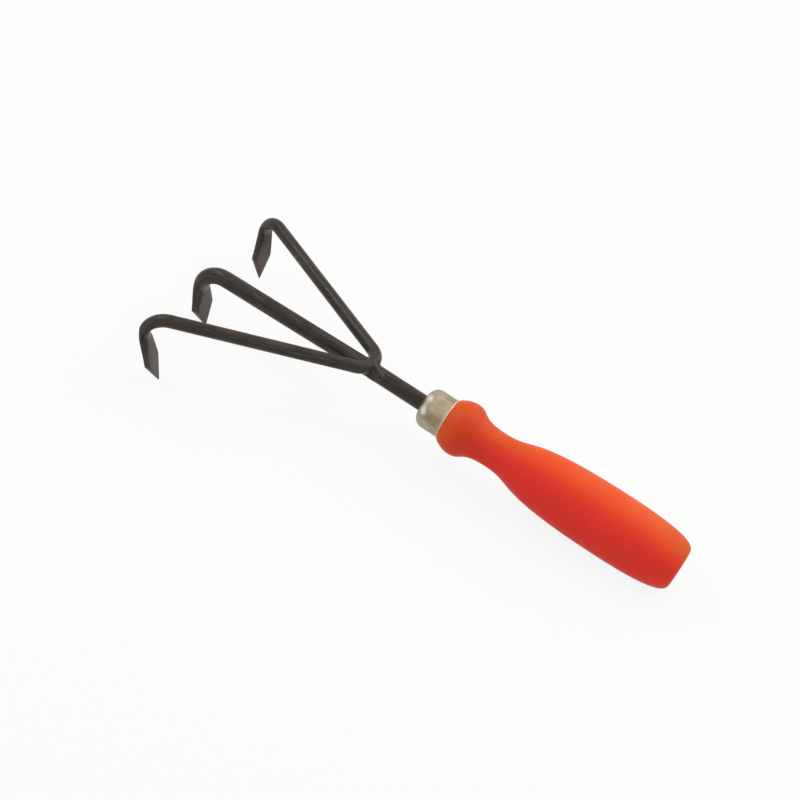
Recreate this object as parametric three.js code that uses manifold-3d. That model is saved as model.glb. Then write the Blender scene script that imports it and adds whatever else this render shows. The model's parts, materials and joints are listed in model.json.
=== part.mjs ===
// Hand cultivator with three tines. Millimetres, +Z up.
// The tool is built along the axis of its shank: x runs from the butt of the handle to the
// tines, and the tines hook downwards. It is then tipped to lie on its lowest point and the
// belly of its handle.

import * as THREE from 'three';
import { mergeVertices } from 'three/addons/utils/BufferGeometryUtils.js';
import Module from 'manifold-3d';

const wasm = await Module();
wasm.setup();

// Gap between pieces that touch
const clearance = 0.3;

// Handle, turned about the axis of the shank
const handleLength = 124.4;
const buttFaceRadius = 8.5;
const gripRadius = 15.75;
const waistRadius = 8.9;
const bulbRadius = 13.45;
const shoulderRadius = 10.2;

// Where the grip is fullest, the waist narrowest and the bulb fullest, along the handle
const gripShare = 0.295;
const waistShare = 0.79;
const bulbShare = 0.94;

// How far each stretch of the outline runs on in the direction of its ends, as shares of its
// height at a radial end and of its length at an end that runs along the axis
const buttCurveShares = [0.46, 0.93];
const backCurveShares = [0.87, 0.25];
const neckCurveShares = [0.81, 0.44];
const noseCurveShares = [0.34, 0.28];

// Ferrule, a drawn cap
const ferruleLength = 13.8;
const ferruleRadius = 9.85;
const ferruleWall = 0.8;
const ferruleCornerRadius = 5;

// Centre rod: tang, shank and middle tine
const rodRadius = 4;
const tangLength = 88;
const tangTipRadius = 2.2;
const tangTaperLength = 4;
const tangPinchLength = 16;
const tangPinchHalfWidth = 5.6;
const tangPinchHalfDepth = 2.4;
const shankLength = 29.7;
const centreTineLength = 81.4;
const centreHookRadius = 10.9;
const centreHookDegrees = 105.8;

// Both rods leave the weld at this angle below the shank
const tinePitchDegrees = 1.4;

// Outer rod, one V with a tine at each end, welded across the centre rod. Its two hooks are
// bent by hand, one further than the other
const outerRodRadius = 3.1;
const outerRodLift = 3.85;
const outerRodSetback = 0.1;
const outerBendRadius = 9.4;
const outerTineLength = 86.8;
const outerSpreadDegrees = 27.7;
const outerHookRadius = 9.5;
const leftHookDegrees = 112.2;
const rightHookDegrees = 99.9;

// Blades: pressed flat, widest at the corners, then cut to a wedge-shaped point. The face is
// on the side of the handle and the back on the other, each at a depth from the rod's axis.
// The two outer blades turn to the handle
const centreCornerDistance = 8.8;
const centrePointLength = 10.3;
const centreBladeWidth = 14;
const centreFaceDepth = 2.7;
const centreBackDepth = 1.5;
const outerCornerDistance = 13.3;
const outerPointLength = 11.7;
const outerBladeWidth = 11.5;
const outerFaceDepth = 2.2;
const outerBackDepth = 0.9;
const outerBladeTurnDegrees = 14.3;
const pointWidth = 0.6;
const pointDepth = 0.6;

// The forging starts in the last degrees of the hook, where it grows evenly to the spread and
// the press at the hook's end. From there it runs to the corners: how far along, how far
// spread and how far pressed
const forgedHookDegrees = 30;
const hookEndShares = [0.34, 0.57];
const forgingShares = [
  [0.25, 0.53, 0.72],
  [0.5, 0.7, 0.89],
  [0.75, 0.85, 1],
  [1, 1, 1],
];

// Weld beads, behind the outer rod's bend and inside it
const beadRadius = 1.8;
const beadEndRadius = 0.8;
const beadSeatDepth = 0.4;
const rearBeadDegrees = 84;
const frontBeadDegrees = 58;

// Fineness of the faceted surfaces
const turnedSides = 48;
const rodSides = 24;
const curvePoints = 6;
const bendDegrees = 10;
const beadSteps = 14;

// Exponents of a section's outline: 1 is an ellipse, and lower is closer to a rectangle
const roundSection = 1;
const flatSection = 0.3;
const roundingError = 1e-6;

const ferruleStart = handleLength + clearance;
const ferruleEnd = handleLength + ferruleLength;
const kinkX = ferruleEnd + shankLength;
const tinePitch = THREE.MathUtils.degToRad(tinePitchDegrees);

// Mesh geometry and solids

function toSolid(geometry) {
  const bare = geometry.clone();
  bare.deleteAttribute('normal');
  bare.deleteAttribute('uv');
  const merged = mergeVertices(bare);
  return new wasm.Manifold(new wasm.Mesh({
    numProp: 3,
    vertProperties: new Float32Array(merged.attributes.position.array),
    triVerts: new Uint32Array(merged.index.array),
  }));
}

function toGeometry(solid) {
  const mesh = solid.getMesh();
  const geometry = new THREE.BufferGeometry();
  geometry.setAttribute('position', new THREE.BufferAttribute(mesh.vertProperties, 3));
  geometry.setIndex(new THREE.BufferAttribute(mesh.triVerts, 1));
  geometry.computeVertexNormals();
  return geometry;
}

// A turned form: the outline's x is its radius and its y runs along the tool's x axis
function turned(outline) {
  const distinct = outline.filter((point, i) => (
    i === 0 || point.distanceTo(outline[i - 1]) > roundingError
  ));
  const geometry = new THREE.LatheGeometry(distinct, turnedSides);
  geometry.rotateZ(-Math.PI / 2);
  return geometry;
}

// Rods: a rod is a list of stations, each with a place, the direction along the rod, the
// direction of its inner face, and the half width, half depth and exponent of its section

function station(place, along, inner, radius) {
  return {
    place: place.clone(),
    along: along.clone(),
    inner: inner.clone(),
    halfWidth: radius,
    halfDepth: radius,
    section: roundSection,
  };
}

// The next station, straight on
function ahead(from, length, changes = {}) {
  const place = from.place.clone().addScaledVector(from.along, length);
  return { ...from, place, ...changes };
}

// Stations round a bend, which turns about an axis square to the rod
function bend(from, axis, radius, angle) {
  const count = Math.ceil(THREE.MathUtils.radToDeg(angle) / bendDegrees);
  const toCentre = axis.clone().cross(from.along);
  const centre = from.place.clone().addScaledVector(toCentre, radius);
  return Array.from({ length: count }, (_, i) => {
    const turn = new THREE.Quaternion().setFromAxisAngle(axis, angle * (i + 1) / count);
    return {
      ...from,
      place: from.place.clone().sub(centre).applyQuaternion(turn).add(centre),
      along: from.along.clone().applyQuaternion(turn),
      inner: from.inner.clone().applyQuaternion(turn),
    };
  });
}

// Where the unit section of a rod lies at a station
function onSection(x, z, at) {
  const side = at.inner.clone().cross(at.along);
  const across = Math.sign(x) * Math.abs(x) ** at.section * at.halfWidth;
  const through = Math.sign(z) * Math.abs(z) ** at.section * at.halfDepth;
  return at.place.clone().addScaledVector(side, across).addScaledVector(at.inner, through);
}

// A sine or cosine that should be zero, without its rounding error
function cleaned(value) {
  return Math.abs(value) < roundingError ? 0 : value;
}

// A closed bar through a list of stations: a cylinder whose rings are moved to them
function bar(stations) {
  const runs = stations.length - 1;
  const geometry = new THREE.CylinderGeometry(1, 1, 1, rodSides, runs);
  const position = geometry.attributes.position;
  for (let i = 0; i < position.count; i++) {
    const ring = Math.round((0.5 - position.getY(i)) * runs);
    const placed = onSection(cleaned(position.getX(i)), cleaned(position.getZ(i)), stations[ring]);
    position.setXYZ(i, placed.x, placed.y, placed.z);
  }
  geometry.computeVertexNormals();
  return geometry;
}

// The same bar, larger all round by a gap
function grown(stations, gap) {
  const wider = stations.map((at) => ({
    ...at,
    halfWidth: at.halfWidth + gap,
    halfDepth: at.halfDepth + gap,
  }));
  wider[0] = ahead(wider[0], -gap);
  wider.push(ahead(wider.pop(), gap));
  return wider;
}

// A station of a round rod, forged: turned about the rod, spread sideways, and pressed
// between the blade's face and its back
function forged(round, blade, turnShare, spread, press) {
  const mix = THREE.MathUtils.lerp;
  const radius = round.halfWidth;
  const turn = THREE.MathUtils.degToRad(blade.turnDegrees) * turnShare;
  const inner = round.inner.clone().applyAxisAngle(round.along, turn);
  const face = mix(radius, blade.faceDepth, press);
  const back = mix(radius, blade.backDepth, press);
  return {
    ...round,
    inner,
    place: round.place.clone().addScaledVector(inner, (face - back) / 2),
    halfWidth: mix(radius, blade.width / 2, spread),
    halfDepth: (face + back) / 2,
    section: mix(roundSection, flatSection, press),
  };
}

// A hook at the end of a tine, and its blade
function hookAndBlade(from, hookRadius, hookDegrees, blade) {
  const axis = from.along.clone().cross(from.inner);
  const bare = bend(from, axis, hookRadius, THREE.MathUtils.degToRad(hookDegrees));
  const hook = bare.map((at, i) => {
    const degreesLeft = hookDegrees * (1 - (i + 1) / bare.length);
    const growth = Math.max(0, 1 - degreesLeft / forgedHookDegrees);
    return forged(at, blade, growth, hookEndShares[0] * growth, hookEndShares[1] * growth);
  });
  const end = bare[bare.length - 1];
  const forging = forgingShares.map(([along, spread, press]) => (
    forged(ahead(end, blade.cornerDistance * along), blade, 1, spread, press)
  ));
  const corners = forging[forging.length - 1];
  const tip = ahead(corners, blade.pointLength, {
    halfWidth: pointWidth / 2,
    halfDepth: pointDepth / 2,
  });
  tip.place.addScaledVector(tip.inner, corners.halfDepth - tip.halfDepth);
  return [...hook, ...forging, tip];
}

// Centre rod, from the end of its tang to its point
function centreStations() {
  const forward = new THREE.Vector3(1, 0, 0);
  const down = new THREE.Vector3(0, 0, -1);
  const tangEnd = new THREE.Vector3(handleLength - tangLength, 0, 0);
  const full = { halfWidth: rodRadius, halfDepth: rodRadius };
  const pinched = { halfWidth: tangPinchHalfWidth, halfDepth: tangPinchHalfDepth };
  const tip = station(tangEnd, forward, down, tangTipRadius);
  const taperEnd = ahead(tip, tangTaperLength, full);
  const pinch = ahead(taperEnd, tangPinchLength / 2, pinched);
  const pinchEnd = ahead(taperEnd, tangPinchLength, full);
  const kink = station(new THREE.Vector3(kinkX, 0, 0), forward, down, rodRadius);
  const drop = bend(kink, new THREE.Vector3(0, 1, 0), rodRadius, tinePitch);
  const tineEnd = ahead(drop[drop.length - 1], centreTineLength);
  const blade = {
    cornerDistance: centreCornerDistance,
    pointLength: centrePointLength,
    width: centreBladeWidth,
    faceDepth: centreFaceDepth,
    backDepth: centreBackDepth,
    turnDegrees: 0,
  };
  return [tip, taperEnd, pinch, pinchEnd, kink, ...drop, tineEnd,
    ...hookAndBlade(tineEnd, centreHookRadius, centreHookDegrees, blade)];
}

// Directions of the tines at the weld
const tineForward = new THREE.Vector3(Math.cos(tinePitch), 0, -Math.sin(tinePitch));
const tineUp = new THREE.Vector3(Math.sin(tinePitch), 0, Math.cos(tinePitch));

// Middle of the outer rod's bend, on its own axis
const outerMiddle = new THREE.Vector3(kinkX, 0, 0)
  .addScaledVector(tineForward, -outerRodSetback)
  .addScaledVector(tineUp, outerRodLift);

// One half of the outer rod, from the middle of its bend to the point on the left
function outerHalf(hookDegrees) {
  const left = new THREE.Vector3(0, 1, 0);
  const below = tineUp.clone().negate();
  const middle = station(outerMiddle, left, below, outerRodRadius);
  const turn = Math.PI / 2 - THREE.MathUtils.degToRad(outerSpreadDegrees);
  const leg = bend(middle, below, outerBendRadius, turn);
  const tineEnd = ahead(leg[leg.length - 1], outerTineLength);
  const blade = {
    cornerDistance: outerCornerDistance,
    pointLength: outerPointLength,
    width: outerBladeWidth,
    faceDepth: outerFaceDepth,
    backDepth: outerBackDepth,
    turnDegrees: outerBladeTurnDegrees,
  };
  return [middle, ...leg, tineEnd,
    ...hookAndBlade(tineEnd, outerHookRadius, hookDegrees, blade)];
}

// The half on the right: a left one mirrored, and walked back from its point
function mirrored(stations) {
  const flip = new THREE.Vector3(1, -1, 1);
  return stations.map((at) => ({
    ...at,
    place: at.place.clone().multiply(flip),
    along: at.along.clone().multiply(flip).negate(),
    inner: at.inner.clone().multiply(flip),
  })).reverse();
}

// A weld bead: it follows the outer rod's bend at a given radius, and wraps round the centre
// rod to an angle each side of its top
function beadStations(bendRadius, wrapDegrees) {
  const wrap = THREE.MathUtils.degToRad(wrapDegrees);
  const axisRadius = rodRadius + beadSeatDepth;
  const bendCentre = outerBendRadius - outerRodSetback;
  const places = Array.from({ length: beadSteps + 1 }, (_, i) => {
    const angle = wrap * (2 * i / beadSteps - 1);
    const y = axisRadius * Math.sin(angle);
    const forward = bendCentre - Math.sqrt(bendRadius ** 2 - y ** 2);
    return new THREE.Vector3(kinkX, y, 0)
      .addScaledVector(tineForward, forward)
      .addScaledVector(tineUp, axisRadius * Math.cos(angle));
  });
  const path = new THREE.CatmullRomCurve3(places);
  return places.map((place, i) => {
    const along = path.getTangent(i / beadSteps);
    const inner = new THREE.Vector3(0, -place.y, -place.z).projectOnPlane(along).normalize();
    const fullness = Math.sin(Math.PI * i / beadSteps);
    const radius = THREE.MathUtils.lerp(beadEndRadius, beadRadius, fullness);
    return station(place, along, inner, radius);
  });
}

// Sub-parts

// The outline of the handle, from the middle of its butt
function handleProfile() {
  const gripX = handleLength * gripShare;
  const waistX = handleLength * waistShare;
  const bulbX = handleLength * bulbShare;
  const buttRise = (gripRadius - buttFaceRadius) * buttCurveShares[0];
  const noseDrop = (bulbRadius - shoulderRadius) * noseCurveShares[1];
  const spigotRadius = ferruleRadius - ferruleWall - clearance;
  const spigotEnd = ferruleEnd - ferruleWall - clearance;
  const spigotCorner = ferruleCornerRadius - ferruleWall;
  const outline = new THREE.Path();
  outline.moveTo(0, 0);
  outline.lineTo(buttFaceRadius, 0);
  outline.bezierCurveTo(buttFaceRadius + buttRise, 0,
    gripRadius, gripX * (1 - buttCurveShares[1]), gripRadius, gripX);
  outline.bezierCurveTo(gripRadius, gripX + (waistX - gripX) * backCurveShares[0],
    waistRadius, waistX - (waistX - gripX) * backCurveShares[1], waistRadius, waistX);
  outline.bezierCurveTo(waistRadius, waistX + (bulbX - waistX) * neckCurveShares[0],
    bulbRadius, bulbX - (bulbX - waistX) * neckCurveShares[1], bulbRadius, bulbX);
  outline.bezierCurveTo(bulbRadius, bulbX + (handleLength - bulbX) * noseCurveShares[0],
    shoulderRadius + noseDrop, handleLength, shoulderRadius, handleLength);
  outline.lineTo(spigotRadius, handleLength);
  outline.lineTo(spigotRadius, spigotEnd - spigotCorner);
  outline.absarc(spigotRadius - spigotCorner, spigotEnd - spigotCorner, spigotCorner,
    0, Math.PI / 2, false);
  outline.lineTo(0, spigotEnd);
  return outline.getPoints(curvePoints);
}

function ferruleGeometry() {
  const holeRadius = rodRadius + clearance;
  const cornerX = ferruleEnd - ferruleCornerRadius;
  const cornerAxis = ferruleRadius - ferruleCornerRadius;
  const outline = new THREE.Path();
  outline.moveTo(ferruleRadius, ferruleStart);
  outline.lineTo(ferruleRadius, cornerX);
  outline.absarc(cornerAxis, cornerX, ferruleCornerRadius, 0, Math.PI / 2, false);
  outline.lineTo(holeRadius, ferruleEnd);
  outline.lineTo(holeRadius, ferruleEnd - ferruleWall);
  outline.absarc(cornerAxis, cornerX, ferruleCornerRadius - ferruleWall,
    Math.PI / 2, 0, true);
  outline.lineTo(ferruleRadius - ferruleWall, ferruleStart);
  outline.lineTo(ferruleRadius, ferruleStart);
  return turned(outline.getPoints(curvePoints));
}

const centre = centreStations();
const left = outerHalf(leftHookDegrees);
const right = mirrored(outerHalf(rightHookDegrees));
const outer = [...right, ...left.slice(1)];
const centreRoom = toSolid(bar(grown(centre, clearance)));
const outerRoom = toSolid(bar(grown(outer, clearance)));

const handleOutline = handleProfile();
const handle = toSolid(turned(handleOutline)).subtract(centreRoom);
const outerRod = toSolid(bar(outer)).subtract(centreRoom);
const rearBead = toSolid(bar(beadStations(outerBendRadius + outerRodRadius, rearBeadDegrees)))
  .subtract(centreRoom).subtract(outerRoom);
const frontBead = toSolid(bar(beadStations(outerBendRadius - outerRodRadius, frontBeadDegrees)))
  .subtract(centreRoom).subtract(outerRoom);

// Finishes
const plastic = { color: 0xe2491f, roughness: 0.42, metalness: 0 };
const paint = { color: 0x3a342f, roughness: 0.5, metalness: 0.2 };
const plate = { color: 0xb0a797, roughness: 0.38, metalness: 0.9 };

function piece(name, geometry, finish) {
  const mesh = new THREE.Mesh(geometry, new THREE.MeshStandardMaterial(finish));
  mesh.name = name;
  return mesh;
}

const tool = new THREE.Group();
tool.add(piece('handle', toGeometry(handle), plastic));
tool.add(piece('ferrule', ferruleGeometry(), plate));
tool.add(piece('centre_rod', bar(centre), paint));
tool.add(piece('outer_rod', toGeometry(outerRod), paint));
tool.add(piece('rear_weld_bead', toGeometry(rearBead), paint));
tool.add(piece('front_weld_bead', toGeometry(frontBead), paint));

// Lying on the ground: tipped about y until the lowest of the three points is level with the
// belly of the handle, then set down on z = 0 with the middle of the tool over the origin
const points = [centre[centre.length - 1], left[left.length - 1], right[0]].map((at) => (
  at.place.clone().addScaledVector(at.inner, -at.halfDepth)
));
const levelPitch = (point) => Math.min(...handleOutline.map((p) => (
  Math.atan2(-p.x - point.z, point.x - p.y)
)));
const restPitch = Math.max(...points.map(levelPitch));
tool.rotation.y = -restPitch;
tool.updateMatrixWorld(true);
const bounds = new THREE.Box3().setFromObject(tool, true);
tool.position.set(-(bounds.min.x + bounds.max.x) / 2, 0, -bounds.min.z);

const cultivator = new THREE.Group();
cultivator.add(tool);

export default cultivator;
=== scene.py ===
"""Looks of a hand cultivator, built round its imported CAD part.

The rods, handle, ferrule and weld are made in the tool's own axes, in millimetres: x runs from
the butt of the handle to the tines, y to the left tine and z up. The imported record's mount says
where those axes lie in the frame.
"""

import json
import math
from dataclasses import dataclass, replace
from itertools import product

import bpy
import numpy as np
from mathutils import Matrix, Vector


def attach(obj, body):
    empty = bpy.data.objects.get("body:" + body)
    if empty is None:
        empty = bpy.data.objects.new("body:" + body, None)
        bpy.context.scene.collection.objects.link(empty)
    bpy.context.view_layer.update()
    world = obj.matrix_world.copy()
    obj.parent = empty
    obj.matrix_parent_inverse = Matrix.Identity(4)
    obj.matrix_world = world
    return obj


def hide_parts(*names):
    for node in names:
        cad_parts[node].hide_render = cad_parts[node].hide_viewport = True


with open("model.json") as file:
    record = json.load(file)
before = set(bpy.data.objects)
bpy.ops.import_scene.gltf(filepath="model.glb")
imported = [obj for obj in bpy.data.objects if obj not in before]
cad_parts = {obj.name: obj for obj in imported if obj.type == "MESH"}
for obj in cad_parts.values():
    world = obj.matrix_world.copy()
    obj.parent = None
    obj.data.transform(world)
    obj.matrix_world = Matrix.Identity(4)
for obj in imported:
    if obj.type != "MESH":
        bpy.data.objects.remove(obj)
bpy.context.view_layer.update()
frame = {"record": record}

# Sizes, as in the part (mm)
CLEARANCE = 0.3

HANDLE_LENGTH = 124.4
BUTT_FACE_RADIUS = 8.5
GRIP_RADIUS = 15.75
WAIST_RADIUS = 8.9
BULB_RADIUS = 13.45
SHOULDER_RADIUS = 10.2
GRIP_SHARE = 0.295
WAIST_SHARE = 0.79
BULB_SHARE = 0.94
BUTT_CURVE_SHARES = (0.46, 0.93)
BACK_CURVE_SHARES = (0.87, 0.25)
NECK_CURVE_SHARES = (0.81, 0.44)
NOSE_CURVE_SHARES = (0.34, 0.28)

FERRULE_LENGTH = 13.8
FERRULE_RADIUS = 9.85
FERRULE_WALL = 0.8
FERRULE_CORNER_RADIUS = 5.0

ROD_RADIUS = 4.0
TANG_LENGTH = 88.0
TANG_TIP_RADIUS = 2.2
TANG_TAPER_LENGTH = 4.0
TANG_PINCH_LENGTH = 16.0
TANG_PINCH_HALF_WIDTH = 5.6
TANG_PINCH_HALF_DEPTH = 2.4
SHANK_LENGTH = 29.7
CENTRE_TINE_LENGTH = 81.4
CENTRE_HOOK_RADIUS = 10.9
CENTRE_HOOK_DEGREES = 105.8
TINE_PITCH_DEGREES = 1.4

OUTER_ROD_RADIUS = 3.1
OUTER_ROD_LIFT = 3.85
OUTER_ROD_SETBACK = 0.1
OUTER_BEND_RADIUS = 9.4
OUTER_TINE_LENGTH = 86.8
OUTER_SPREAD_DEGREES = 27.7
OUTER_HOOK_RADIUS = 9.5
LEFT_HOOK_DEGREES = 112.2
RIGHT_HOOK_DEGREES = 99.9
POINT_WIDTH = 0.6
POINT_DEPTH = 0.6
FORGED_HOOK_DEGREES = 30

FERRULE_END = HANDLE_LENGTH + FERRULE_LENGTH
TINE_PITCH = math.radians(TINE_PITCH_DEGREES)
OUTER_TURN = math.radians(90 - OUTER_SPREAD_DEGREES)

# Exponent of a blade's section: 1 is an ellipse, and lower is closer to a rectangle
FLAT_SECTION = 0.22

# The blades' width as a share of the part's, because their finer edges look wider
CORNER_ALLOWANCE = 0.975

# Fineness of the surfaces
TURNED_SIDES = 96
ROD_SIDES = 48
CURVE_STEPS = 28
ARC_STEPS = 12
TANG_PINCH_STEPS = 12
BEND_DEGREES = 2.5

# What is smaller than this is only rounding
ROUNDING_ERROR = 1e-9

# Edges that turn by more than this stay sharp (degrees)
ROD_EDGE = 38
TURNED_EDGE = 50
WELD_EDGE = 60

# Metres in a millimetre
MM = 0.001

# The tool's directions, and those of the tines, which slope down from the shank
X, Y, Z = np.eye(3)
TINE_FORWARD = np.array([math.cos(TINE_PITCH), 0, -math.sin(TINE_PITCH)])
TINE_UP = np.array([math.sin(TINE_PITCH), 0, math.cos(TINE_PITCH)])

# Where the shank bends down, and the middle of the outer rod's bend
KINK = np.array([FERRULE_END + SHANK_LENGTH, 0, 0])
OUTER_MIDDLE = KINK - TINE_FORWARD * OUTER_ROD_SETBACK + TINE_UP * OUTER_ROD_LIFT


# Meshes

def tool_matrix():
    """From the tool's axes in millimetres to the frame in metres."""
    mount = frame["record"]["mounts"][0]
    forward = -Vector(mount["axis"]).normalized()
    left = Vector(Y)
    up = forward.cross(left)
    turn = Matrix((forward, left, up)).transposed().to_4x4()
    return Matrix.Translation(mount["pos_m"]) @ turn @ Matrix.Scale(MM, 4)


TOOL = tool_matrix()


def add_object(name, data):
    """A new object in the scene, of a mesh, a light or a camera."""
    made = bpy.data.objects.new(name, data)
    bpy.context.scene.collection.objects.link(made)
    return made


def add_mesh(name, points, faces, edge_degrees, marks=None):
    """A mesh object from points in the tool's axes. marks are values or vectors kept at its
    points, for its material."""
    mesh = bpy.data.meshes.new(name)
    mesh.from_pydata([tuple(p) for p in points], [], faces)
    mesh.transform(TOOL)
    mesh.validate()
    for label, values in (marks or {}).items():
        values = np.asarray(values, np.float32)
        kind, slot = ("FLOAT", "value") if values.ndim == 1 else ("FLOAT_VECTOR", "vector")
        layer = mesh.attributes.new(label, kind, "POINT")
        layer.data.foreach_set(slot, values.ravel())
    mesh.shade_smooth()
    mesh.set_sharp_from_angle(angle=math.radians(edge_degrees))
    return add_object(name, mesh)


def loft(rings, closed=False):
    """Points and faces of a body through rings of points, capped unless it is closed."""
    count, sides = len(rings), len(rings[0])
    faces = []
    for i in range(count if closed else count - 1):
        a, b = i * sides, (i + 1) % count * sides
        for j in range(sides):
            k = (j + 1) % sides
            faces.append((a + j, a + k, b + k, b + j))
    if not closed:
        faces.append(tuple(reversed(range(sides))))
        faces.append(tuple(range((count - 1) * sides, count * sides)))
    return np.concatenate(rings), faces


# Rods

@dataclass
class Station:
    """A place on a rod. inner is the direction of its inner face, and section is the exponent
    of its outline. Its inner side is drawn in by pinch, a share of its depth, and wear says how
    far its paint has worn, from 0 to 1."""
    place: np.ndarray
    along: np.ndarray
    inner: np.ndarray
    half_width: float
    half_depth: float
    section: float = 1.0
    pinch: float = 0.0
    wear: float = 0.0


def turned_about(vector, axis, angle):
    """The vector turned about a unit axis."""
    return (vector * math.cos(angle) + np.cross(axis, vector) * math.sin(angle)
            + axis * (axis @ vector) * (1 - math.cos(angle)))


def ahead(at, length, **changes):
    """The next station, straight on."""
    return replace(at, place=at.place + at.along * length, **changes)


def bend(at, axis, radius, angle):
    """Stations round a bend about an axis square to the rod."""
    count = math.ceil(math.degrees(angle) / BEND_DEGREES)
    centre = at.place + np.cross(axis, at.along) * radius
    stations = []
    for i in range(count):
        turn = angle * (i + 1) / count
        stations.append(replace(
            at,
            place=centre + turned_about(at.place - centre, axis, turn),
            along=turned_about(at.along, axis, turn),
            inner=turned_about(at.inner, axis, turn),
        ))
    return stations


def round_angles(sides):
    """Angles spread evenly round a circle."""
    return np.arange(sides) * 2 * math.pi / sides


def ring(at, sides=ROD_SIDES):
    """The outline of a rod's section at a station."""
    angle = round_angles(sides)
    across, through = (np.sign(w) * np.abs(w) ** at.section * (np.abs(w) > ROUNDING_ERROR)
                       for w in (np.cos(angle), np.sin(angle)))
    through = np.where(through > 0, through * (1 - at.pinch), through)
    side = np.cross(at.inner, at.along)
    return (at.place + np.outer(across * at.half_width, side)
            + np.outer(through * at.half_depth, at.inner))


def grown(stations, gap):
    """The same rod, larger all round."""
    wider = [replace(s, half_width=s.half_width + gap, half_depth=s.half_depth + gap)
             for s in stations]
    wider[0] = ahead(wider[0], -gap)
    return wider


# Blades, as in the part: how far along to the corners, how far spread and how far pressed
FORGING_SHARES = np.array([(0, 0.34, 0.57), (0.25, 0.53, 0.72), (0.5, 0.7, 0.89),
                           (0.75, 0.85, 1), (1, 1, 1)])
FORGING_STEPS = 20
POINT_STEPS = 8

# Where round a hook the pinch is deepest, and how far it reaches to each side, as shares of
# the hook's turn
PINCH_AT = 0.6
PINCH_REACH = 0.24

# How steeply the wear grows from the hook to the blade's corners
WEAR_POWER = 4


@dataclass
class Blade:
    """The sizes of a blade, as in the part, and the pinch on the inner side of its hook."""
    corner_distance: float
    point_length: float
    width: float
    face_depth: float
    back_depth: float
    turn_degrees: float
    pinch: float


CENTRE_BLADE = Blade(corner_distance=8.8, point_length=10.3, width=14, face_depth=2.7,
                     back_depth=1.5, turn_degrees=0, pinch=0.12)
OUTER_BLADE = Blade(corner_distance=13.3, point_length=11.7, width=11.5, face_depth=2.2,
                    back_depth=0.9, turn_degrees=14.3, pinch=0.3)


def smooth_lookup(at, places, values):
    """A smooth curve through a table: a cubic between each two rows."""
    slopes = np.gradient(values, places)
    i = min(np.searchsorted(places, at, side="right") - 1, len(places) - 2)
    step = places[i + 1] - places[i]
    t = (at - places[i]) / step
    return ((1 + 2 * t) * (1 - t) ** 2 * values[i] + t * (1 - t) ** 2 * step * slopes[i]
            + t * t * (3 - 2 * t) * values[i + 1] - t * t * (1 - t) * step * slopes[i + 1])


def forged(at, blade, turn_share, spread, press, **changes):
    """A round station turned about the rod, spread sideways and pressed flat."""
    radius = at.half_width
    turn = math.radians(blade.turn_degrees) * turn_share
    inner = turned_about(at.inner, at.along, turn)
    face = radius + (blade.face_depth - radius) * press
    back = radius + (blade.back_depth - radius) * press
    return replace(at, place=at.place + inner * (face - back) / 2, inner=inner,
                   half_width=radius + (blade.width * CORNER_ALLOWANCE / 2 - radius) * spread,
                   half_depth=(face + back) / 2,
                   section=1 + (FLAT_SECTION - 1) * press, **changes)


def hook_and_blade(at, hook_radius, hook_degrees, blade):
    """The stations of a hook at the end of a tine, and of its blade down to the point."""
    axis = np.cross(at.along, at.inner)
    bare = bend(at, axis, hook_radius, math.radians(hook_degrees))

    def pinch_at(turn_share):
        return blade.pinch * math.exp(-((turn_share - PINCH_AT) / PINCH_REACH) ** 2)

    places, spreads, presses = FORGING_SHARES.T
    stations = []
    for i, station in enumerate(bare):
        share = (i + 1) / len(bare)
        growth = max(0, 1 - hook_degrees * (1 - share) / FORGED_HOOK_DEGREES)
        stations.append(forged(station, blade, growth, spreads[0] * growth,
                               presses[0] * growth, pinch=pinch_at(share)))
    for i in range(1, FORGING_STEPS + 1):
        share = i / FORGING_STEPS
        # How far round the hook this would be, had the hook gone on
        over = 1 + share * blade.corner_distance / hook_radius / math.radians(hook_degrees)
        stations.append(forged(
            ahead(bare[-1], blade.corner_distance * share), blade, 1,
            smooth_lookup(share, places, spreads),
            min(smooth_lookup(share, places, presses), 1),
            pinch=pinch_at(over), wear=share ** WEAR_POWER))
    corners = stations[-1]
    width, depth = corners.half_width, corners.half_depth
    for i in range(1, POINT_STEPS + 1):
        share = i / POINT_STEPS
        half_depth = depth + (POINT_DEPTH / 2 - depth) * share
        stations.append(ahead(
            replace(corners, place=corners.place + corners.inner * (depth - half_depth)),
            blade.point_length * share,
            half_width=width + (POINT_WIDTH / 2 - width) * share, half_depth=half_depth,
            pinch=0, wear=1))
    return stations


def tang_stations():
    """The tang inside the handle, with its pinched part."""
    start = Station(np.array([HANDLE_LENGTH - TANG_LENGTH, 0, 0]), X, -Z,
                    TANG_TIP_RADIUS, TANG_TIP_RADIUS)
    full = ahead(start, TANG_TAPER_LENGTH, half_width=ROD_RADIUS, half_depth=ROD_RADIUS)
    stations = [start, full]
    for i in range(1, TANG_PINCH_STEPS + 1):
        share = i / TANG_PINCH_STEPS
        squeeze = math.sin(math.pi * share) ** 2
        stations.append(ahead(
            full, TANG_PINCH_LENGTH * share,
            half_width=ROD_RADIUS + (TANG_PINCH_HALF_WIDTH - ROD_RADIUS) * squeeze,
            half_depth=ROD_RADIUS + (TANG_PINCH_HALF_DEPTH - ROD_RADIUS) * squeeze))
    return stations


def unhooked_stations():
    """The centre rod up to its hook."""
    tang = tang_stations()
    kink = replace(tang[-1], place=KINK)
    drop = bend(kink, Y, ROD_RADIUS, TINE_PITCH)
    return [*tang, kink, *drop, ahead(drop[-1], CENTRE_TINE_LENGTH)]


def centre_stations():
    """The centre rod, from the end of its tang to its point."""
    bar = unhooked_stations()
    return [*bar, *hook_and_blade(bar[-1], CENTRE_HOOK_RADIUS, CENTRE_HOOK_DEGREES,
                                  CENTRE_BLADE)]


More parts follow.
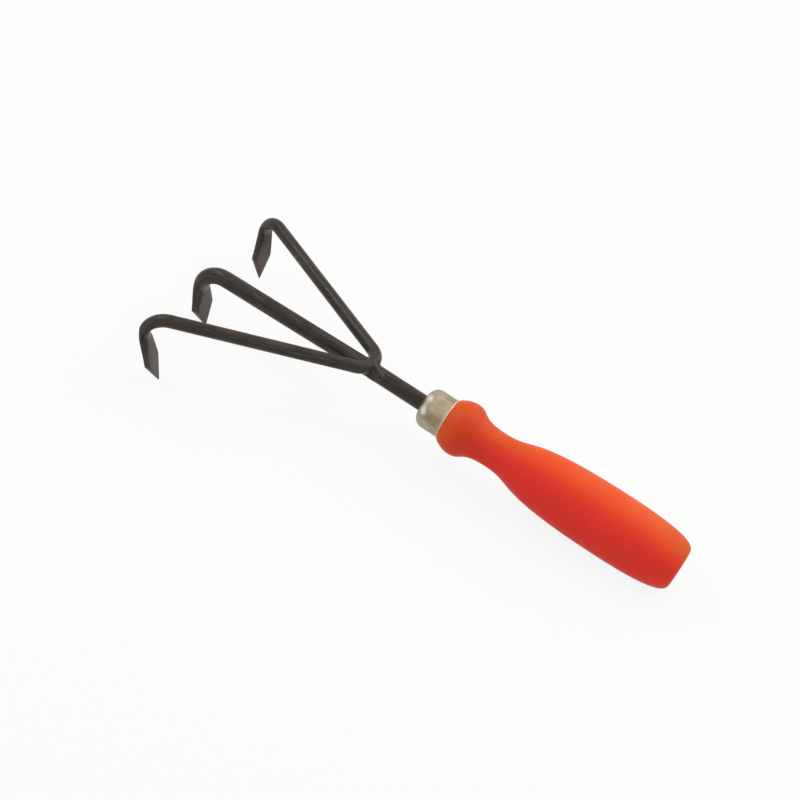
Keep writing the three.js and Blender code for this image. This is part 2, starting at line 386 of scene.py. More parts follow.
def outer_half(hook_degrees):
    """The left half of the outer rod, from the middle of its bend to its point."""
    middle = Station(OUTER_MIDDLE, Y, -TINE_UP, OUTER_ROD_RADIUS, OUTER_ROD_RADIUS)
    leg = bend(middle, -TINE_UP, OUTER_BEND_RADIUS, OUTER_TURN)
    end = ahead(leg[-1], OUTER_TINE_LENGTH)
    return [middle, *leg, end,
            *hook_and_blade(end, OUTER_HOOK_RADIUS, hook_degrees, OUTER_BLADE)]


def mirrored(stations):
    """A left half as a right one, walked back from its point."""
    flip = np.array([1, -1, 1])
    return [replace(s, place=s.place * flip, along=-s.along * flip, inner=s.inner * flip)
            for s in reversed(stations)]


# How much longer the marks from drawing a bar are than they are wide
DRAWN_STRETCH = 12


def drawn_grain(stations):
    """Where each point lies in metres on the bar before it was bent, shortened along it."""
    places = np.array([s.place for s in stations])
    lengths = np.linalg.norm(np.diff(places, axis=0), axis=1)
    along = np.repeat(np.append(0, np.cumsum(lengths)) / DRAWN_STRETCH, ROD_SIDES)
    angle = np.tile(round_angles(ROD_SIDES), len(stations))
    radius = stations[len(stations) // 2].half_width
    return np.stack([along, radius * np.cos(angle), radius * np.sin(angle)], -1) * MM


def rod(name, stations):
    """A bar through its stations. Its marks are its wear and its grain."""
    points, faces = loft([ring(s) for s in stations])
    wear = np.repeat([s.wear for s in stations], ROD_SIDES)
    return add_mesh(name, points, faces, ROD_EDGE,
                    {"blade": wear, "grain": drawn_grain(stations)})


# Turned forms

def disc(x, radius):
    """A ring about the tool's axis."""
    return ring(Station(np.array([x, 0, 0]), X, -Z, radius, radius), TURNED_SIDES)


def bezier(start, first, second, end):
    """Points on a Bezier curve after its start."""
    t = np.linspace(0, 1, CURVE_STEPS + 1)[1:, None]
    start, first, second, end = (np.array(p, float) for p in (start, first, second, end))
    return ((1 - t) ** 3 * start + 3 * t * (1 - t) ** 2 * first
            + 3 * t * t * (1 - t) * second + t ** 3 * end)


def corner(centre, radius, start_degrees, end_degrees):
    """Points on an arc, from along the axis at 0 degrees to outwards at 90."""
    angles = np.radians(np.linspace(start_degrees, end_degrees, ARC_STEPS + 1))
    return [(centre[0] + radius * math.cos(a), centre[1] + radius * math.sin(a))
            for a in angles]


def handle_outline():
    """The outside of the handle as (x, radius), from the rim of its butt to its shoulder."""
    grip = (HANDLE_LENGTH * GRIP_SHARE, GRIP_RADIUS)
    waist = (HANDLE_LENGTH * WAIST_SHARE, WAIST_RADIUS)
    bulb = (HANDLE_LENGTH * BULB_SHARE, BULB_RADIUS)
    back, neck, nose = waist[0] - grip[0], bulb[0] - waist[0], HANDLE_LENGTH - bulb[0]
    butt_rise = (GRIP_RADIUS - BUTT_FACE_RADIUS) * BUTT_CURVE_SHARES[0]
    nose_drop = (BULB_RADIUS - SHOULDER_RADIUS) * NOSE_CURVE_SHARES[1]
    return [
        (0, BUTT_FACE_RADIUS),
        *bezier((0, BUTT_FACE_RADIUS), (0, BUTT_FACE_RADIUS + butt_rise),
                (grip[0] * (1 - BUTT_CURVE_SHARES[1]), GRIP_RADIUS), grip),
        *bezier(grip, (grip[0] + back * BACK_CURVE_SHARES[0], GRIP_RADIUS),
                (waist[0] - back * BACK_CURVE_SHARES[1], WAIST_RADIUS), waist),
        *bezier(waist, (waist[0] + neck * NECK_CURVE_SHARES[0], WAIST_RADIUS),
                (bulb[0] - neck * NECK_CURVE_SHARES[1], BULB_RADIUS), bulb),
        *bezier(bulb, (bulb[0] + nose * NOSE_CURVE_SHARES[0], BULB_RADIUS),
                (HANDLE_LENGTH, SHOULDER_RADIUS + nose_drop), (HANDLE_LENGTH, SHOULDER_RADIUS)),
    ]


# Radius of the innermost ring of the butt's flat face, as a share of the face's
BUTT_CENTRE_SHARE = 0.5


def make_handle():
    """The moulding: outside, spigot under the ferrule, and the hole round the tang. Its mark
    rises from the waist to the shoulder."""
    spigot = FERRULE_RADIUS - FERRULE_WALL - CLEARANCE
    spigot_end = FERRULE_END - FERRULE_WALL - CLEARANCE
    radius = FERRULE_CORNER_RADIUS - FERRULE_WALL
    outline = [
        (0, BUTT_FACE_RADIUS * BUTT_CENTRE_SHARE),
        *handle_outline(),
        (HANDLE_LENGTH, spigot),
        *reversed(corner((spigot_end - radius, spigot - radius), radius, 0, 90)),
    ]
    hole = grown(tang_stations(), CLEARANCE)
    mouth = replace(hole[-1], place=np.array([spigot_end, 0, 0]))
    rings = [disc(x, r) for x, r in outline]
    rings += [ring(s, TURNED_SIDES) for s in reversed([*hole, mouth])]
    points, faces = loft(rings)
    waist = HANDLE_LENGTH * WAIST_SHARE
    front = [np.clip((x - waist) / (HANDLE_LENGTH - waist), 0, 1) for x, _ in outline]
    front += [0] * (len(rings) - len(outline))
    return add_mesh("handle_moulding", points, faces, TURNED_EDGE,
                    {"front": np.repeat(front, TURNED_SIDES)})


# Ferrule: gaps to the handle and the shank, the radii of its hole's front and back edges, and
# how far its rear rim turns out, at the rim and just in front of it (mm)
FERRULE_GAP = 0.05
FERRULE_HOLE_GAP = 0.12
FERRULE_FRONT_EDGE = 0.35
FERRULE_BACK_EDGE = 0.15
FERRULE_LIP = 0.18
FERRULE_LIP_START = 0.072


def make_ferrule():
    """A drawn cap with its wall, a rear rim turned out a little and the edge of its hole. Its
    mark is 1 on the rear rim."""
    hole = ROD_RADIUS + FERRULE_HOLE_GAP
    back = FERRULE_END - FERRULE_WALL
    rear = HANDLE_LENGTH + FERRULE_GAP + FERRULE_WALL / 2
    inside = FERRULE_RADIUS - FERRULE_WALL
    centre = (FERRULE_END - FERRULE_CORNER_RADIUS, FERRULE_RADIUS - FERRULE_CORNER_RADIUS)
    front_edge = (FERRULE_END - FERRULE_FRONT_EDGE, hole + FERRULE_FRONT_EDGE)
    back_edge = (back + FERRULE_BACK_EDGE, hole + FERRULE_BACK_EDGE)
    rim = (rear, inside + FERRULE_LIP + FERRULE_WALL / 2)
    outline = [
        (rear + FERRULE_WALL, FERRULE_RADIUS + FERRULE_LIP_START),
        (rear + FERRULE_WALL * 2, FERRULE_RADIUS),
        *corner(centre, FERRULE_CORNER_RADIUS, 90, 0),
        *corner(front_edge, FERRULE_FRONT_EDGE, 0, -90),
        *corner(back_edge, FERRULE_BACK_EDGE, -90, -180),
        *corner(centre, FERRULE_CORNER_RADIUS - FERRULE_WALL, 0, 90),
        (rear + FERRULE_WALL * 2, inside),
        *corner(rim, FERRULE_WALL / 2, 270, 90),
    ]
    points, faces = loft([disc(x, r) for x, r in outline], closed=True)
    on_rim = np.repeat([float(x <= rear) for x, _ in outline], TURNED_SIDES)
    return add_mesh("ferrule_cap", points, faces, TURNED_EDGE, {"rim": on_rim})


# Weld metal, from distances to the surfaces of the rods (mm): the width that the rods blend
# over, how far its skin dips under theirs away from the joint, and how deep it goes in them
WELD_BLEND = 1.2
WELD_SINK = 0.03
WELD_DEPTH = 0.9

# The ellipsoid that the weld metal stays inside: its middle and its half sizes
WELD_CENTRE = np.array([168.4, 0, 1.6])
WELD_REACH = np.array([13.5, 15.0, 8.6])

# The width that the runs blend into the rest over
RUN_BLEND = 0.9

# Step and margin of the grid that the weld's surface is found on
WELD_STEP = 0.34
WELD_MARGIN = 0.5

# Settling points on the surface: rounds, the step that slopes are measured over, and the
# least square of a slope that is trusted
SETTLE_ROUNDS = 4
SLOPE_STEP = 0.01
LEAST_SLOPE_SQUARE = 0.25

# Runs of weld, each a string of places and radii: from the right leg over the back of the
# outer rod and along the shank, a thin one behind it, and one under each leg
RUNS = (
    np.array([(170.7, -6.0, 5.9, 0.6), (169.8, -3.1, 5.9, 0.85), (169.0, -0.5, 6.0, 0.95),
              (168.2, 1.8, 5.9, 1.05), (166.6, 2.8, 5.3, 1.35), (165.3, 2.8, 4.1, 1.45),
              (163.8, 2.4, 3.0, 1.45), (162.0, 2.7, 2.4, 1.4), (160.5, 3.0, 2.0, 1.25)]),
    np.array([(168.6, -6.2, 5.7, 0.5), (167.3, -3.6, 5.7, 0.65), (166.1, -1.7, 5.2, 0.65)]),
    np.array([(170.2, 6.4, 1.9, 1.4), (167.5, 4.0, -0.2, 1.2), (165.7, 3.4, -1.2, 0.9),
              (163.4, 2.9, -1.8, 0.5)]),
    np.array([(170.2, -6.0, 1.2, 1.4), (167.0, -3.0, -0.9, 1.5), (163.5, -2.7, -1.5, 1.2)]),
)


def centre_distance(p):
    """From the surface of the centre rod near the weld."""
    q = p - KINK
    forward, up = q @ TINE_FORWARD, q @ TINE_UP
    height = np.where(forward > 0, up, p[:, 2])
    return np.hypot(p[:, 1], height) - ROD_RADIUS


def outer_distance(p):
    """From the surface of the outer rod near its bend."""
    q = p - OUTER_MIDDLE
    forward = q @ TINE_FORWARD - OUTER_BEND_RADIUS
    left, up = np.abs(p[:, 1]), q @ TINE_UP
    cos, sin = math.cos(OUTER_TURN), math.sin(OUTER_TURN)
    arc = np.hypot(forward, left) - OUTER_BEND_RADIUS
    leg = (left - OUTER_BEND_RADIUS * sin) * sin - (forward + OUTER_BEND_RADIUS * cos) * cos
    beside = np.where(np.arctan2(left, -forward) < OUTER_TURN, arc, leg)
    return np.hypot(beside, up) - OUTER_ROD_RADIUS


def chain_distance(p, path, radii):
    """From a string of tapered links."""
    nearest = np.full(len(p), np.inf)
    for a, b, ra, rb in zip(path[:-1], path[1:], radii[:-1], radii[1:]):
        link = b - a
        t = np.clip((p - a) @ link / (link @ link), 0, 1)
        distance = np.linalg.norm(p - a - t[:, None] * link, axis=1) - (ra + (rb - ra) * t)
        nearest = np.minimum(nearest, distance)
    return nearest


def blended(a, b, width):
    """The smaller of two distances, rounded where they are close."""
    share = np.clip(width - np.abs(a - b), 0, None) / width
    return np.minimum(a, b) - share ** 2 * width / 4


def weld_distance(p):
    """From the surface of the weld metal: a fillet and its runs, cut off at its reach and at
    its depth inside the rods."""
    rods = np.minimum(centre_distance(p), outer_distance(p))
    fillet = blended(centre_distance(p), outer_distance(p), WELD_BLEND)
    for run in RUNS:
        fillet = blended(fillet, chain_distance(p, run[:, :3], run[:, 3]), RUN_BLEND)
    reach = (np.linalg.norm((p - WELD_CENTRE) / WELD_REACH, axis=1) - 1) * min(WELD_REACH)
    return np.maximum(np.maximum(fillet + WELD_SINK, reach), -rods - WELD_DEPTH)


def surface_net(distance, low, high, step):
    """Points and faces of the surface where a distance is zero: a point in each cell of a grid
    that the surface crosses, and a face round each edge of the grid that it crosses."""
    axes = [np.arange(a, b + step, step) for a, b in zip(low, high)]
    grid = np.stack(np.meshgrid(*axes, indexing="ij"), -1)
    value = distance(grid.reshape(-1, 3)).reshape(grid.shape[:3])
    inside = value < 0
    cells = tuple(n - 1 for n in value.shape)
    total = np.zeros(cells + (3,))
    hits = np.zeros(cells, int)
    crossings = []
    for axis in range(3):
        u, v = (k for k in range(3) if k != axis)
        start, end = [slice(None)] * 3, [slice(None)] * 3
        start[axis], end[axis] = slice(None, -1), slice(1, None)
        start, end = tuple(start), tuple(end)
        cross = inside[start] != inside[end]
        with np.errstate(divide="ignore", invalid="ignore"):
            t = np.where(cross, value[start] / (value[start] - value[end]), 0)
        place = grid[start] + t[..., None] * (grid[end] - grid[start])
        for du, dv in product((0, 1), repeat=2):
            part = [slice(None)] * 3
            part[u], part[v] = slice(du, cells[u] + du), slice(dv, cells[v] + dv)
            part = tuple(part)
            total += np.where(cross[part][..., None], place[part], 0)
            hits += cross[part]
        crossings.append((cross, inside[start], u, v))
    used = hits > 0
    number = np.full(cells, -1)
    number[used] = np.arange(used.sum())
    faces = []
    for axis, (cross, within, u, v) in enumerate(crossings):
        for cell in np.argwhere(cross):
            corners = []
            for du, dv in ((1, 1), (0, 1), (0, 0), (1, 0)):
                at = cell.copy()
                at[u] -= du
                at[v] -= dv
                corners.append(int(number[tuple(at)]))
            outward = bool(within[tuple(cell)]) == (axis != 1)
            faces.append(tuple(corners if outward else corners[::-1]))
    return total[used] / hits[used][:, None], faces


def settle(points, distance):
    """Moves points on to the surface where the distance is zero."""
    for _ in range(SETTLE_ROUNDS):
        value = distance(points)
        slope = np.stack([(distance(points + e * SLOPE_STEP) - distance(points - e * SLOPE_STEP))
                          / (2 * SLOPE_STEP) for e in (X, Y, Z)], -1)
        size = np.maximum((slope ** 2).sum(1), LEAST_SLOPE_SQUARE)
        points = points - (value / size)[:, None] * slope
    return points


def make_weld():
    """The weld metal round the bend of the outer rod. Its mark is its grain."""
    low = WELD_CENTRE - WELD_REACH - WELD_MARGIN
    high = WELD_CENTRE + WELD_REACH + WELD_MARGIN
    points, faces = surface_net(weld_distance, low, high, WELD_STEP)
    points = settle(points, weld_distance)
    return add_mesh("weld_metal", points, faces, WELD_EDGE, {"grain": points * MM})


# Materials

def linear(r, g, b):
    """The linear colour for one given in sRGB, 0 to 255."""
    return tuple(((c / 255 + 0.055) / 1.055) ** 2.4 if c > 10 else c / 255 / 12.92
                 for c in (r, g, b)) + (1,)


# The middle of a spot that has its full strength, as a share of its radius
SPOT_CORE_SHARE = 0.3


class Nodes:
    """A material's node tree, with short ways to add to it. A value that a method takes is a
    number, a colour or a socket."""

    def __init__(self, name):
        self.material = bpy.data.materials.new(name)
        self.material.use_nodes = True
        self.tree = self.material.node_tree
        self.shader = self.tree.nodes["Principled BSDF"]
        self.output = self.tree.nodes["Material Output"]
        self.object_place = self.add("ShaderNodeTexCoord").outputs["Object"]

    def add(self, kind, **settings):
        """A new node with its settings."""
        node = self.tree.nodes.new(kind)
        for key, value in settings.items():
            setattr(node, key, value)
        return node

    def put(self, value, target):
        """Links a socket to a target, or sets the target to a value."""
        if isinstance(value, bpy.types.NodeSocket):
            self.tree.links.new(value, target)
        else:
            target.default_value = value

    def mark(self, name, output="Fac"):
        """What the mesh keeps at its points under a name."""
        return self.add("ShaderNodeAttribute", attribute_name=name).outputs[output]

    def place(self, stretch):
        """The place in the frame, scaled on each axis and turned by the tool's tilt."""
        mapping = self.add("ShaderNodeMapping")
        self.put((0, -TOOL.to_euler().y, 0), mapping.inputs["Rotation"])
        self.put(stretch, mapping.inputs["Scale"])
        self.put(self.object_place, mapping.inputs["Vector"])
        return mapping.outputs["Vector"]

    def noise(self, scale, detail=4, roughness=0.6, stretch=(1, 1, 1), vector=None):
        """Noise with features of 1 / scale metres, at a vector or else the place."""
        node = self.add("ShaderNodeTexNoise")
        self.put(scale, node.inputs["Scale"])
        self.put(detail, node.inputs["Detail"])
        self.put(roughness, node.inputs["Roughness"])
        self.put(vector or self.place(stretch), node.inputs["Vector"])
        return node.outputs["Fac"]

    def ramp(self, value, low, high, low_out=0.0, high_out=1.0):
        """A smooth rise from one level of a value to another."""
        node = self.add("ShaderNodeMapRange")
        node.interpolation_type = "SMOOTHSTEP"
        self.put(low, node.inputs["From Min"])
        self.put(high, node.inputs["From Max"])
        self.put(low_out, node.inputs["To Min"])
        self.put(high_out, node.inputs["To Max"])
        self.put(value, node.inputs["Value"])
        return node.outputs["Result"]

    def math(self, operation, first, second):
        """The result of an operation on two values."""
        node = self.add("ShaderNodeMath", operation=operation)
        self.put(first, node.inputs[0])
        self.put(second, node.inputs[1])
        return node.outputs[0]

    def mix(self, share, first, second):
        """A mix of two colours."""
        node = self.add("ShaderNodeMix", data_type="RGBA")
        for name, kind, value in (("Factor", "VALUE", share), ("A", "RGBA", first),
                                  ("B", "RGBA", second)):
            self.put(value, next(s for s in node.inputs if s.name == name and s.type == kind))
        return next(s for s in node.outputs if s.type == "RGBA")

    def tint(self, body, color, share, strength):
        """The body with a share of a colour on it."""
        return self.mix(self.math("MULTIPLY", share, strength), body, color)

    def patches(self, body, color, strength, low, high, within=None, **noise):
        """The body with a colour where noise is high: none at the low level, and all of its
        strength at the high one. With the levels swapped, it comes where noise is low."""
        share = self.ramp(self.noise(**noise), low, high)
        if within is not None:
            share = self.math("MULTIPLY", within, share)
        return self.tint(body, color, share, strength)

    def spots(self, body, color, spots):
        """The body with spots, each a place in the tool's axes, a radius in millimetres and a
        strength. A spot fades to nothing at its radius."""
        for place, radius, strength in spots:
            gap = self.add("ShaderNodeVectorMath", operation="DISTANCE")
            self.put(self.object_place, gap.inputs[0])
            self.put(TOOL @ Vector(place), gap.inputs[1])
            share = self.ramp(gap.outputs["Value"], low=radius * MM * SPOT_CORE_SHARE,
                              high=radius * MM, low_out=1.0, high_out=0.0)
            body = self.tint(body, color, share, strength)
        return body

    def relief(self, height, strength, below=None, **noise):
        """A surface that rises and falls with noise by a height in metres, over the relief
        below it."""
        node = self.add("ShaderNodeBump")
        self.put(strength, node.inputs["Strength"])
        self.put(height, node.inputs["Distance"])
        self.put(self.noise(**noise), node.inputs["Height"])
        if below is not None:
            self.put(below, node.inputs["Normal"])
        return node.outputs["Normal"]

    def gloss(self, smoothest, roughest, scale):
        """Roughness that changes from place to place."""
        return self.ramp(self.noise(scale), low=0.3, high=0.7,
                         low_out=smoothest, high_out=roughest)

    def finish(self, **inputs):
        """Sets the shader's inputs and gives the material."""
        for key, value in inputs.items():
            self.put(value, self.shader.inputs[key.replace("_", " ")])
        return self.material


# The side of the handle that faces the key light, where a lighter orange is painted on as painted
# light, and how squarely a place faces it where the painted light starts and ends
KEY_LIT_SIDE = (-0.4, -0.5, 0.77)
LIT_SIDE_START = 0.1
LIT_SIDE_END = 1.05

# Colours of the handle: red, and a lighter orange painted as light on the side that faces the key
# light, in patches, in fine scuffs, from the waist forward, at the shoulder, and in two darker
# spots at the top
RED_PLASTIC = linear(220, 50, 37)
LIT_SIDE_PLASTIC = linear(217, 88, 28)
CLOUDED_PLASTIC = linear(226, 64, 32)
SCUFFED_PLASTIC = linear(236, 110, 60)
FRONT_PLASTIC = linear(192, 62, 26)
SHOULDER_PLASTIC = linear(212, 88, 26)
DARKER_TOP_PLASTIC = linear(182, 72, 26)

# Where the handle is darker at the top, near the butt and near the waist: place, radius and
# strength
DARKER_TOP_SPOTS = (((2.0, -7.0, 9.0), 20.0, 0.45), ((98.0, -3.0, 9.0), 16.0, 0.3))


def plastic_material():
    """Moulded plastic, red with a lighter orange painted as light on the side that faces the key
    light, and darker at the top in two spots.
    """
    n = Nodes("orange_moulded_plastic")
    # Painted light: the handle turns a lighter orange where it faces the key light
    facing = n.add("ShaderNodeVectorMath", operation="DOT_PRODUCT")
    n.put(n.add("ShaderNodeNewGeometry").outputs["Normal"], facing.inputs[0])
    n.put(KEY_LIT_SIDE, facing.inputs[1])
    lit_side = n.ramp(facing.outputs["Value"], LIT_SIDE_START, LIT_SIDE_END)
    body = n.mix(lit_side, RED_PLASTIC, LIT_SIDE_PLASTIC)
    body = n.patches(body, CLOUDED_PLASTIC, strength=0.3, low=0.4, high=0.7, scale=60)
    body = n.patches(body, SCUFFED_PLASTIC, strength=0.2, low=0.66, high=0.8,
                     scale=420, detail=5, roughness=0.7, stretch=(0.25, 1, 1))
    front = n.mark("front")
    body = n.tint(body, FRONT_PLASTIC, n.ramp(front, low=0.0, high=0.5), strength=0.55)
    body = n.tint(body, SHOULDER_PLASTIC, n.ramp(front, low=0.62, high=1.0), strength=0.6)
    # Darker at the top near the butt and near the waist
    body = n.spots(body, DARKER_TOP_PLASTIC, DARKER_TOP_SPOTS)
    gloss = n.gloss(smoothest=0.46, roughest=0.56, scale=120)
    grain = n.relief(height=0.00002, strength=0.35, scale=2600, detail=2, roughness=0.5)
    waves = n.relief(height=0.0002, strength=0.12, below=grain, scale=90, detail=2,
                     roughness=0.4)
    return n.finish(Base_Color=body, Roughness=gloss, Normal=waves, Specular_IOR_Level=0.14)


# Colours of the ferrule: clean, in darker patches, in stains, in rust spots and a painted shade
# at the rear top, in painted highlight spots near the front, and in a painted highlight along the
# rim
PLATED_STEEL = linear(172, 162, 142)
DARKER_STEEL = linear(150, 140, 120)
STAINED_STEEL = linear(160, 140, 110)
RUST_AND_SHADE_STEEL = linear(128, 102, 70)
FERRULE_HIGHLIGHT_STEEL = linear(246, 240, 228)
RIM_HIGHLIGHT_STEEL = linear(216, 192, 170)

# Marks on the ferrule, rust spots with a painted shade at the rear top, and painted highlights
# near the front: place, radius and strength
RUST_AND_SHADE_SPOTS = (((132.4, 9.3, 3.0), 4.2, 0.36), ((129.6, 9.4, 2.8), 5.0, 0.36),
              ((127.2, 9.6, 2.0), 3.4, 0.3), ((127.0, 1.0, 9.8), 8.5, 0.3))
FERRULE_HIGHLIGHT_SPOTS = (((136.4, 3.4, 8.0), 2.7, 0.4), ((136.3, 7.6, 4.6), 2.3, 0.4),
                ((135.5, 8.7, 3.6), 2.5, 0.55), ((136.2, 6.2, 6.4), 1.8, 0.2))


def ferrule_material():
    """Dull plated steel, stained and rusty, with a painted shade at its rear top, painted
    highlights near its front and a painted highlight along its rim.
    """
    n = Nodes("dull_plated_steel")
    body = n.patches(PLATED_STEEL, DARKER_STEEL, strength=1.0, low=0.35, high=0.7, scale=230)
    body = n.patches(body, STAINED_STEEL, strength=0.4, low=0.56, high=0.74, scale=420)
    # Rust spots, and a painted shade over the rear top
    body = n.spots(body, RUST_AND_SHADE_STEEL, RUST_AND_SHADE_SPOTS)
    # Painted highlights on the front rounding
    body = n.spots(body, FERRULE_HIGHLIGHT_STEEL, FERRULE_HIGHLIGHT_SPOTS)
    # A painted highlight along the rear rim
    body = n.tint(body, RIM_HIGHLIGHT_STEEL, n.mark("rim"), strength=0.8)
    gloss = n.gloss(smoothest=0.46, roughest=0.6, scale=700)
    drawn = n.relief(height=0.00002, strength=0.3, scale=3000, detail=3,
                     stretch=(0.06, 1, 1))
    dents = n.relief(height=0.0002, strength=0.25, below=drawn, scale=260, detail=2,
                     roughness=0.5)
    return n.finish(Base_Color=body, Roughness=gloss, Normal=dents, Metallic=1.0)


# Colours of the paint: in darker and paler patches, in streaks, in grime, on the worn blades and
# their specks, and in painted highlights where the hooks bend in
DARK_PAINT = linear(35, 27, 21)
PALER_PAINT = linear(50, 41, 33)
STREAKED_PAINT = linear(84, 74, 64)
GRIMY_PAINT = linear(24, 19, 15)
WORN_PAINT = linear(76, 62, 49)
SPECKLED_PAINT = linear(112, 104, 96)
HOOK_HIGHLIGHT_PAINT = linear(116, 108, 100)

# Painted highlights where the hooks bend in: place, radius and strength
HOOK_HIGHLIGHT_SPOTS = (((255.6, 53.2, -7.6), 3.2, 0.7), ((256.4, 2.4, -11.4), 3.6, 0.7),
                ((255.6, -51.0, -6.0), 3.0, 0.7))


def paint_material():
    """Dark satin paint with streaks along the bars, worn on the blades, with painted highlights
    where the hooks bend in.
    """
    n = Nodes("dark_satin_paint")
    body = n.patches(DARK_PAINT, PALER_PAINT, strength=1.0, low=0.35, high=0.7, scale=70)
    grain = n.mark("grain", "Vector")
    body = n.patches(body, STREAKED_PAINT, strength=0.6, low=0.45, high=0.75,
                     scale=900, vector=grain)
    body = n.patches(body, GRIMY_PAINT, strength=0.5, low=0.5, high=0.3,
                     scale=640, vector=grain)
    worn = n.mark("blade")
    body = n.tint(body, WORN_PAINT, worn, strength=0.45)
    body = n.patches(body, SPECKLED_PAINT, strength=0.35, low=0.58, high=0.72,
                     within=worn, scale=1500, detail=5, roughness=0.7)
    # Painted highlights where the hooks bend in
    body = n.spots(body, HOOK_HIGHLIGHT_PAINT, HOOK_HIGHLIGHT_SPOTS)
    gloss = n.gloss(smoothest=0.32, roughest=0.44, scale=500)
    peel = n.relief(height=0.00005, strength=0.25, scale=1100, detail=2, roughness=0.5)
    drawn = n.relief(height=0.0001, strength=0.2, below=peel, scale=420, detail=3,
                     roughness=0.5, vector=grain)
    return n.finish(Base_Color=body, Roughness=gloss, Normal=drawn, Specular_IOR_Level=0.27)


# Pieces

def finish_piece(piece, material, slot, *nodes):
    """Gives a piece its material and body, and hides the nodes that it stands for. The slot is
    not used.
    """
    piece.data.materials.append(material)
    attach(piece, "root")
    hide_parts(*nodes)


def cut_away(piece, tool):
    """Takes one body out of another, for good."""
    cut = piece.modifiers.new("cut", "BOOLEAN")
    cut.operation, cut.solver, cut.object = "DIFFERENCE", "EXACT", tool
    shown = piece.evaluated_get(bpy.context.evaluated_depsgraph_get())
    mesh = bpy.data.meshes.new_from_object(shown)
    piece.modifiers.clear()
    piece.data = mesh
    bpy.data.objects.remove(tool)


# Gap between the two rods where the outer one is notched for the centre one (mm)
ROD_GAP = 0.04

handle = make_handle()
ferrule = make_ferrule()
centre_rod = rod("centre_rod_forged", centre_stations())
right, left = mirrored(outer_half(RIGHT_HOOK_DEGREES)), outer_half(LEFT_HOOK_DEGREES)
outer_rod = rod("outer_rod_forged", [*right, *left[1:]])
cut_away(outer_rod, rod("room", grown(unhooked_stations(), ROD_GAP)))
weld = make_weld()

plastic, plate, paint = plastic_material(), ferrule_material(), paint_material()
finish_piece(handle, plastic, "handle_plastic", "handle")
finish_piece(ferrule, plate, "ferrule_steel", "ferrule")
finish_piece(centre_rod, paint, "tine_paint", "centre_rod")
finish_piece(outer_rod, paint, "tine_paint", "outer_rod")
finish_piece(weld, paint, "tine_paint", "rear_weld_bead", "front_weld_bead")


# Studio (metres)

# The floor is flat out to a share of its half size, and lies just under the object
FLOOR_SIZE = 6.0
FLOOR_STEPS = 24
FLOOR_FLAT_SHARE = 0.8
FLOOR_DROP = 0.0002

# How pale the floor is, its shine, and how far plain white covers it for the camera
FLOOR_WHITE = 0.72
FLOOR_ROUGHNESS = 0.9
FLOOR_SPECULAR = 0.1
FLOOR_COVER = 0.88

# Brightness of the white surroundings, where they light and where they are seen
WORLD_FILL = 0.72
WORLD_SEEN = 1.0
WHITE = (1, 1, 1, 1)

# The camera, matched to the outline in the photo
CAMERA_PLACE = (-0.143655, 0.594430, 0.541289)
CAMERA_TURN = (0.838866, -0.257088, -2.652362)
CAMERA_LENS = 78.19
CAMERA_SENSOR = 36.0
CAMERA_NEAR = 0.05
CAMERA_FAR = 20.0


def seen_directly(tree):
    """One for rays from the camera, a mirror or glass, and nothing for those that light."""
    path = tree.nodes.new("ShaderNodeLightPath")
    total = path.outputs["Is Camera Ray"]
    for kind in ("Is Glossy Ray", "Is Transmission Ray"):
        either = tree.nodes.new("ShaderNodeMath")
        either.operation = "MAXIMUM"
        tree.links.new(total, either.inputs[0])
        tree.links.new(path.outputs[kind], either.inputs[1])
        total = either.outputs[0]
    return total


def floor_material():
    """Pale and matt, and mostly plain white where it is seen directly."""
    n = Nodes("pale_floor")
    n.finish(Base_Color=(FLOOR_WHITE,) * 3 + (1,), Roughness=FLOOR_ROUGHNESS,
             Specular_IOR_Level=FLOOR_SPECULAR)
    white = n.add("ShaderNodeEmission")
    blend = n.add("ShaderNodeMixShader")
    n.put(n.math("MULTIPLY", seen_directly(n.tree), FLOOR_COVER), blend.inputs[0])
    n.put(n.shader.outputs[0], blend.inputs[1])
    n.put(white.outputs[0], blend.inputs[2])
    n.put(blend.outputs[0], n.output.inputs["Surface"])
    return n.material


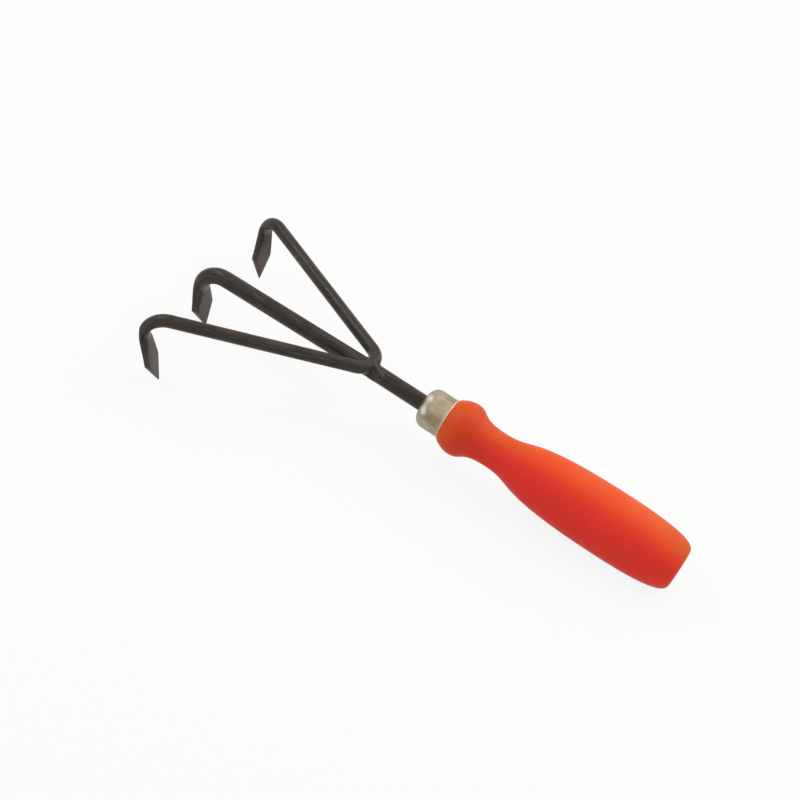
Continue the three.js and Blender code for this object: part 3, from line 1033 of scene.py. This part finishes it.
def make_floor():
    """A wide pale sheet whose edges curve up a little, with the object's shadow on it."""
    count = FLOOR_STEPS + 1
    t = np.linspace(-1, 1, count)
    x, y = np.meshgrid(t, t, indexing="ij")
    rise = np.clip(np.hypot(x, y) - FLOOR_FLAT_SHARE, 0, None) ** 2
    points = np.stack([x * FLOOR_SIZE / 2, y * FLOOR_SIZE / 2, rise - FLOOR_DROP], -1)
    faces = [(i * count + j, (i + 1) * count + j, (i + 1) * count + j + 1, i * count + j + 1)
             for i, j in product(range(FLOOR_STEPS), repeat=2)]
    mesh = bpy.data.meshes.new("floor")
    mesh.from_pydata([tuple(p) for p in points.reshape(-1, 3)], [], faces)
    mesh.shade_smooth()
    mesh.materials.append(floor_material())
    floor = add_object("floor", mesh)


def add_light(name, place, size, power, color):
    """A square light that faces the object."""
    data = bpy.data.lights.new(name, "AREA")
    data.shape, data.size = "SQUARE", size
    data.energy, data.color = power, color
    light = add_object(name, data)
    light.location = place
    light.rotation_euler = (-Vector(place)).to_track_quat("-Z", "Y").to_euler()


def make_world():
    """White all round, a little dimmer as a light than as a background."""
    world = bpy.data.worlds.new("studio")
    bpy.context.scene.world = world
    world.use_nodes = True
    nodes, links = world.node_tree.nodes, world.node_tree.links
    fill = nodes["Background"]
    white = nodes.new("ShaderNodeBackground")
    for background, strength in ((fill, WORLD_FILL), (white, WORLD_SEEN)):
        background.inputs["Color"].default_value = WHITE
        background.inputs["Strength"].default_value = strength
    blend = nodes.new("ShaderNodeMixShader")
    links.new(seen_directly(world.node_tree), blend.inputs[0])
    links.new(fill.outputs[0], blend.inputs[1])
    links.new(white.outputs[0], blend.inputs[2])
    links.new(blend.outputs[0], nodes["World Output"].inputs["Surface"])


def make_camera():
    """Looks from where the photo was taken."""
    data = bpy.data.cameras.new("camera")
    data.lens, data.sensor_width = CAMERA_LENS, CAMERA_SENSOR
    data.clip_start, data.clip_end = CAMERA_NEAR, CAMERA_FAR
    camera = add_object("camera", data)
    camera.location, camera.rotation_euler = CAMERA_PLACE, CAMERA_TURN
    bpy.context.scene.camera = camera


make_floor()
make_world()
add_light("key", place=(-0.5, -0.62, 0.95), size=1.1, power=8, color=(1, 0.94, 0.84))
add_light("second", place=(0.72, 0.1, 0.9), size=0.4, power=3, color=(1, 0.98, 0.95))
make_camera()
bpy.context.scene.view_settings.view_transform = "Standard"
